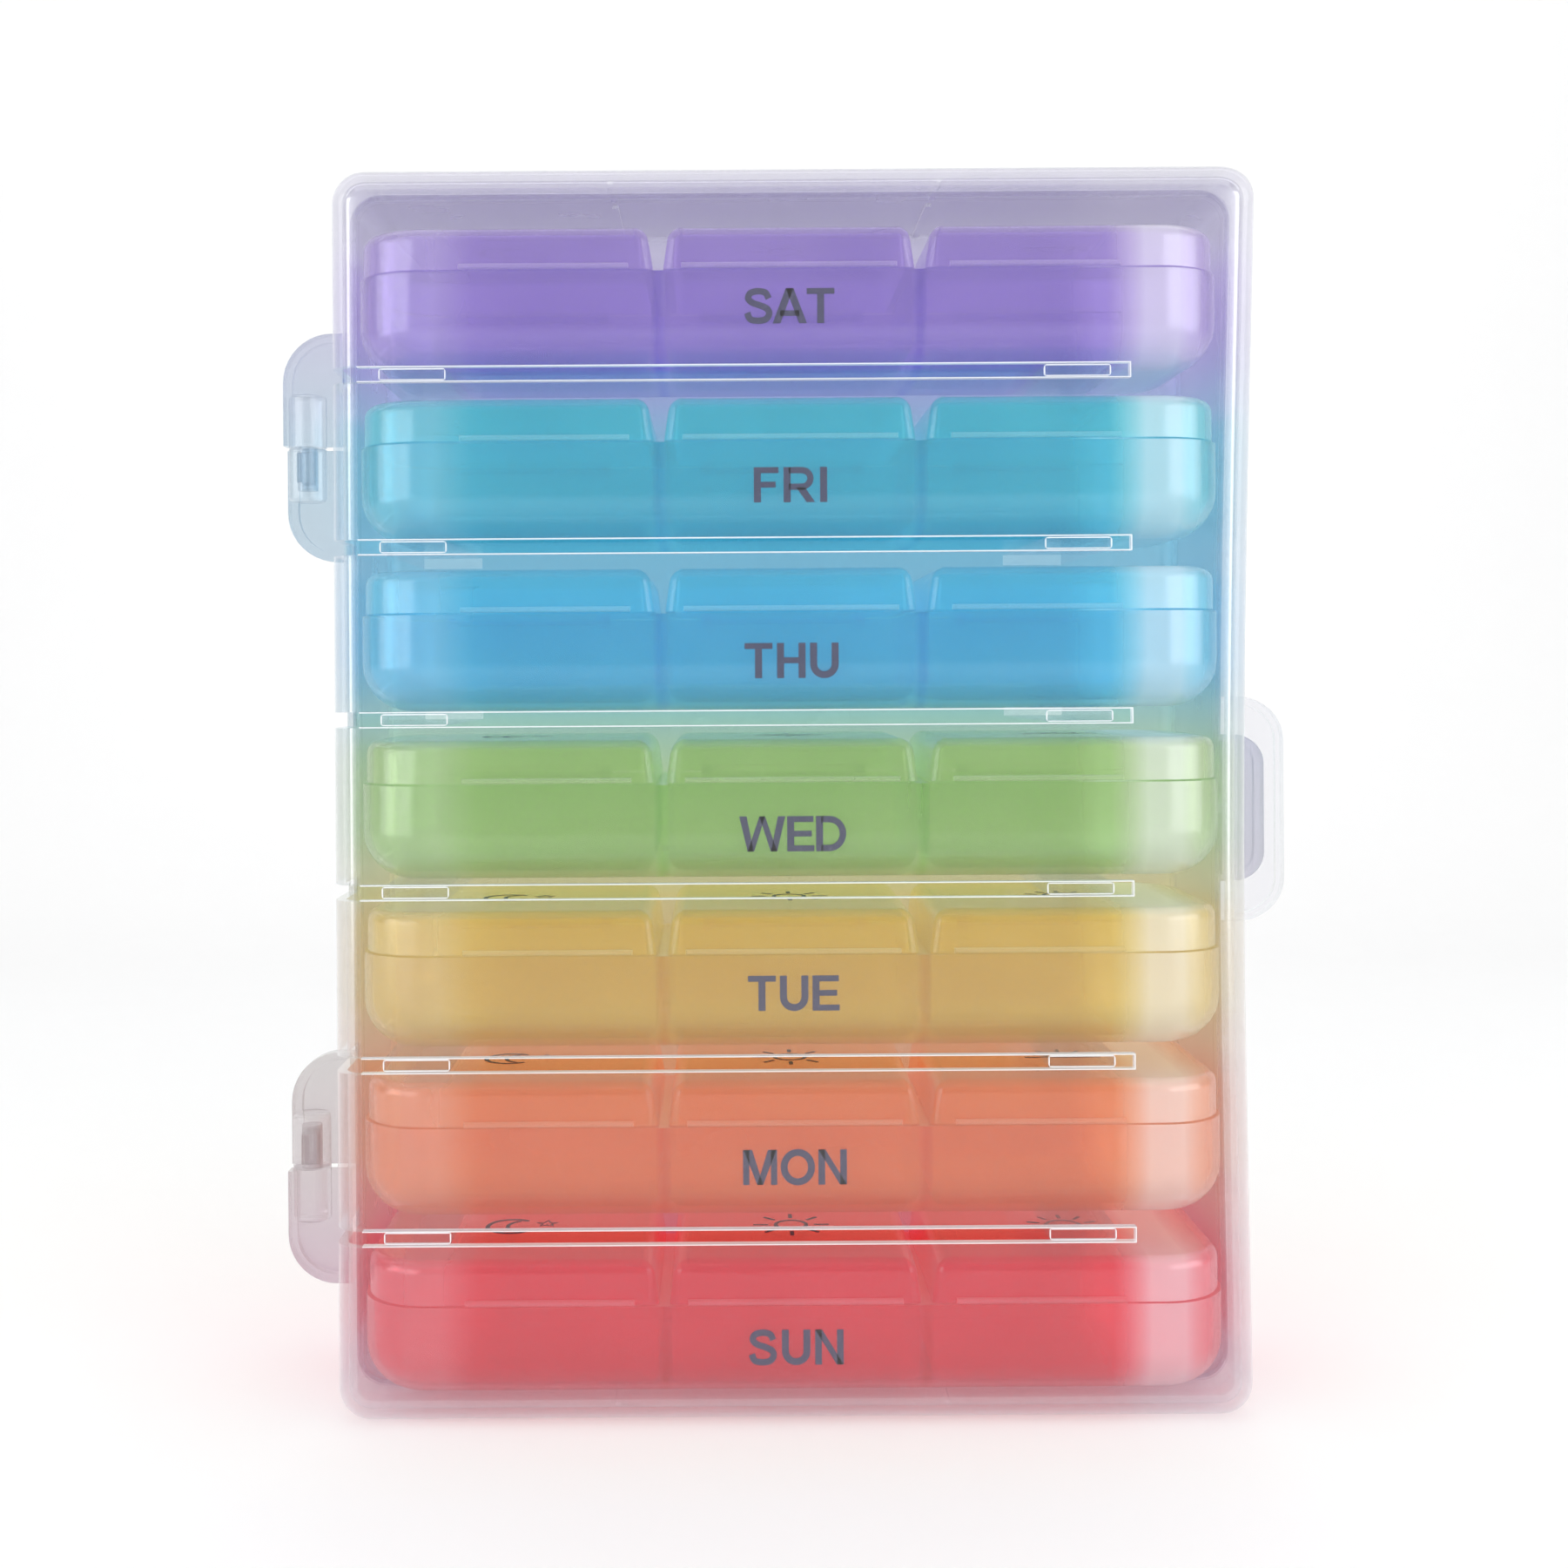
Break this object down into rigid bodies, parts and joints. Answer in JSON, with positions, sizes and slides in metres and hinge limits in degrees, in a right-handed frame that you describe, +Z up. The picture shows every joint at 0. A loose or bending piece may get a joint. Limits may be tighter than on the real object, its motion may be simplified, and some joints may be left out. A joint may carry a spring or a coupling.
{
  "type": "travel pill organizer",
  "caption": "Clear hinged case with a slotted cover that holds a stack of coloured day boxes, each with lidded compartments for pills.",
  "frame": {"origin": "middle of the bounding box at its base, on the surface the case stands on", "axes": "+Z up, along the stack of day boxes; -Y out of the slotted cover; -X towards the case's hinges, +X towards its thumb tabs"},
  "size_m": [0.1714, 0.05, 0.206],
  "materials": {
    "clear_case": "frosted, nearly clear polypropylene with a faint lavender haze",
    "sun_plastic": "translucent red polypropylene, softly glossy",
    "mon_plastic": "translucent orange polypropylene, softly glossy",
    "tue_plastic": "translucent yellow polypropylene, softly glossy",
    "wed_plastic": "translucent green polypropylene, softly glossy",
    "thu_plastic": "translucent blue polypropylene, softly glossy",
    "fri_plastic": "translucent teal polypropylene, softly glossy",
    "sat_plastic": "translucent purple polypropylene, softly glossy"
  },
  "bodies": {
    "case_back": {"case_back": "clear_case"},
    "cover": {"case_front": "clear_case"},
    "sun_box": {"sun_tray": "sun_plastic"},
    "sun_lid_left": {"sun_lid_left": "sun_plastic"},
    "sun_lid_middle": {"sun_lid_middle": "sun_plastic"},
    "sun_lid_right": {"sun_lid_right": "sun_plastic"},
    "mon_box": {"mon_tray": "mon_plastic"},
    "mon_lid_left": {"mon_lid_left": "mon_plastic"},
    "mon_lid_middle": {"mon_lid_middle": "mon_plastic"},
    "mon_lid_right": {"mon_lid_right": "mon_plastic"},
    "tue_box": {"tue_tray": "tue_plastic"},
    "tue_lid_left": {"tue_lid_left": "tue_plastic"},
    "tue_lid_middle": {"tue_lid_middle": "tue_plastic"},
    "tue_lid_right": {"tue_lid_right": "tue_plastic"},
    "wed_box": {"wed_tray": "wed_plastic"},
    "wed_lid_left": {"wed_lid_left": "wed_plastic"},
    "wed_lid_middle": {"wed_lid_middle": "wed_plastic"},
    "wed_lid_right": {"wed_lid_right": "wed_plastic"},
    "thu_box": {"thu_tray": "thu_plastic"},
    "thu_lid_left": {"thu_lid_left": "thu_plastic"},
    "thu_lid_middle": {"thu_lid_middle": "thu_plastic"},
    "thu_lid_right": {"thu_lid_right": "thu_plastic"},
    "fri_box": {"fri_tray": "fri_plastic"},
    "fri_lid_left": {"fri_lid_left": "fri_plastic"},
    "fri_lid_middle": {"fri_lid_middle": "fri_plastic"},
    "fri_lid_right": {"fri_lid_right": "fri_plastic"},
    "sat_box": {"sat_tray": "sat_plastic"},
    "sat_lid_left": {"sat_lid_left": "sat_plastic"},
    "sat_lid_middle": {"sat_lid_middle": "sat_plastic"},
    "sat_lid_right": {"sat_lid_right": "sat_plastic"}
  },
  "joints": [
    {"name": "cover_hinge", "type": "hinge", "parent": "case_back", "child": "cover", "pos_m": [-0.08215, -0.0055, 0.1], "axis": [0, 0, -1], "range_deg": [0, 180]},
    {"name": "sun_box_slide", "type": "slide", "parent": "case_back", "child": "sun_box", "axis": [0, -1, 0], "range_m": [0, 0.048]},
    {"name": "sun_lid_left_hinge", "type": "hinge", "parent": "sun_box", "child": "sun_lid_left", "pos_m": [-0.0467, 0.0215, 0.01865], "axis": [-1, 0, 0], "range_deg": [0, 3]},
    {"name": "sun_lid_middle_hinge", "type": "hinge", "parent": "sun_box", "child": "sun_lid_middle", "pos_m": [0.0008, 0.0215, 0.01865], "axis": [-1, 0, 0], "range_deg": [0, 6]},
    {"name": "sun_lid_right_hinge", "type": "hinge", "parent": "sun_box", "child": "sun_lid_right", "pos_m": [0.0483, 0.0215, 0.01865], "axis": [-1, 0, 0], "range_deg": [0, 3]},
    {"name": "mon_box_slide", "type": "slide", "parent": "case_back", "child": "mon_box", "axis": [0, -1, 0], "range_m": [0, 0.048]},
    {"name": "mon_lid_left_hinge", "type": "hinge", "parent": "mon_box", "child": "mon_lid_left", "pos_m": [-0.0467, 0.0215, 0.0481], "axis": [-1, 0, 0], "range_deg": [0, 3]},
    {"name": "mon_lid_middle_hinge", "type": "hinge", "parent": "mon_box", "child": "mon_lid_middle", "pos_m": [0.0008, 0.0215, 0.0481], "axis": [-1, 0, 0], "range_deg": [0, 6]},
    {"name": "mon_lid_right_hinge", "type": "hinge", "parent": "mon_box", "child": "mon_lid_right", "pos_m": [0.0483, 0.0215, 0.0481], "axis": [-1, 0, 0], "range_deg": [0, 3]},
    {"name": "tue_box_slide", "type": "slide", "parent": "case_back", "child": "tue_box", "axis": [0, -1, 0], "range_m": [0, 0.048]},
    {"name": "tue_lid_left_hinge", "type": "hinge", "parent": "tue_box", "child": "tue_lid_left", "pos_m": [-0.0467, 0.0215, 0.07635], "axis": [-1, 0, 0], "range_deg": [0, 3]},
    {"name": "tue_lid_middle_hinge", "type": "hinge", "parent": "tue_box", "child": "tue_lid_middle", "pos_m": [0.0008, 0.0215, 0.07635], "axis": [-1, 0, 0], "range_deg": [0, 6]},
    {"name": "tue_lid_right_hinge", "type": "hinge", "parent": "tue_box", "child": "tue_lid_right", "pos_m": [0.0483, 0.0215, 0.07635], "axis": [-1, 0, 0], "range_deg": [0, 3]},
    {"name": "wed_box_slide", "type": "slide", "parent": "case_back", "child": "wed_box", "axis": [0, -1, 0], "range_m": [0, 0.048]},
    {"name": "wed_lid_left_hinge", "type": "hinge", "parent": "wed_box", "child": "wed_lid_left", "pos_m": [-0.0467, 0.0215, 0.1046], "axis": [-1, 0, 0], "range_deg": [0, 3]},
    {"name": "wed_lid_middle_hinge", "type": "hinge", "parent": "wed_box", "child": "wed_lid_middle", "pos_m": [0.0008, 0.0215, 0.1046], "axis": [-1, 0, 0], "range_deg": [0, 6]},
    {"name": "wed_lid_right_hinge", "type": "hinge", "parent": "wed_box", "child": "wed_lid_right", "pos_m": [0.0483, 0.0215, 0.1046], "axis": [-1, 0, 0], "range_deg": [0, 3]},
    {"name": "thu_box_slide", "type": "slide", "parent": "case_back", "child": "thu_box", "axis": [0, -1, 0], "range_m": [0, 0.048]},
    {"name": "thu_lid_left_hinge", "type": "hinge", "parent": "thu_box", "child": "thu_lid_left", "pos_m": [-0.0467, 0.0215, 0.13285], "axis": [-1, 0, 0], "range_deg": [0, 3]},
    {"name": "thu_lid_middle_hinge", "type": "hinge", "parent": "thu_box", "child": "thu_lid_middle", "pos_m": [0.0008, 0.0215, 0.13285], "axis": [-1, 0, 0], "range_deg": [0, 6]},
    {"name": "thu_lid_right_hinge", "type": "hinge", "parent": "thu_box", "child": "thu_lid_right", "pos_m": [0.0483, 0.0215, 0.13285], "axis": [-1, 0, 0], "range_deg": [0, 3]},
    {"name": "fri_box_slide", "type": "slide", "parent": "case_back", "child": "fri_box", "axis": [0, -1, 0], "range_m": [0, 0.048]},
    {"name": "fri_lid_left_hinge", "type": "hinge", "parent": "fri_box", "child": "fri_lid_left", "pos_m": [-0.0467, 0.0215, 0.1611], "axis": [-1, 0, 0], "range_deg": [0, 3]},
    {"name": "fri_lid_middle_hinge", "type": "hinge", "parent": "fri_box", "child": "fri_lid_middle", "pos_m": [0.0008, 0.0215, 0.1611], "axis": [-1, 0, 0], "range_deg": [0, 6]},
    {"name": "fri_lid_right_hinge", "type": "hinge", "parent": "fri_box", "child": "fri_lid_right", "pos_m": [0.0483, 0.0215, 0.1611], "axis": [-1, 0, 0], "range_deg": [0, 3]},
    {"name": "sat_box_slide", "type": "slide", "parent": "case_back", "child": "sat_box", "axis": [0, -1, 0], "range_m": [0, 0.048]},
    {"name": "sat_lid_left_hinge", "type": "hinge", "parent": "sat_box", "child": "sat_lid_left", "pos_m": [-0.0467, 0.0215, 0.18935], "axis": [-1, 0, 0], "range_deg": [0, 8]},
    {"name": "sat_lid_middle_hinge", "type": "hinge", "parent": "sat_box", "child": "sat_lid_middle", "pos_m": [0.0008, 0.0215, 0.18935], "axis": [-1, 0, 0], "range_deg": [0, 8]},
    {"name": "sat_lid_right_hinge", "type": "hinge", "parent": "sat_box", "child": "sat_lid_right", "pos_m": [0.0483, 0.0215, 0.18935], "axis": [-1, 0, 0], "range_deg": [0, 8]}
  ],
  "couplings": [
    {"joint": "sun_box_slide", "follows": "cover_hinge", "m_per_rad": 0.01527},
    {"joint": "mon_box_slide", "follows": "cover_hinge", "m_per_rad": 0.01527},
    {"joint": "tue_box_slide", "follows": "cover_hinge", "m_per_rad": 0.01527},
    {"joint": "wed_box_slide", "follows": "cover_hinge", "m_per_rad": 0.01527},
    {"joint": "thu_box_slide", "follows": "cover_hinge", "m_per_rad": 0.01527},
    {"joint": "fri_box_slide", "follows": "cover_hinge", "m_per_rad": 0.01527},
    {"joint": "sat_box_slide", "follows": "cover_hinge", "m_per_rad": 0.01527}
  ]
}
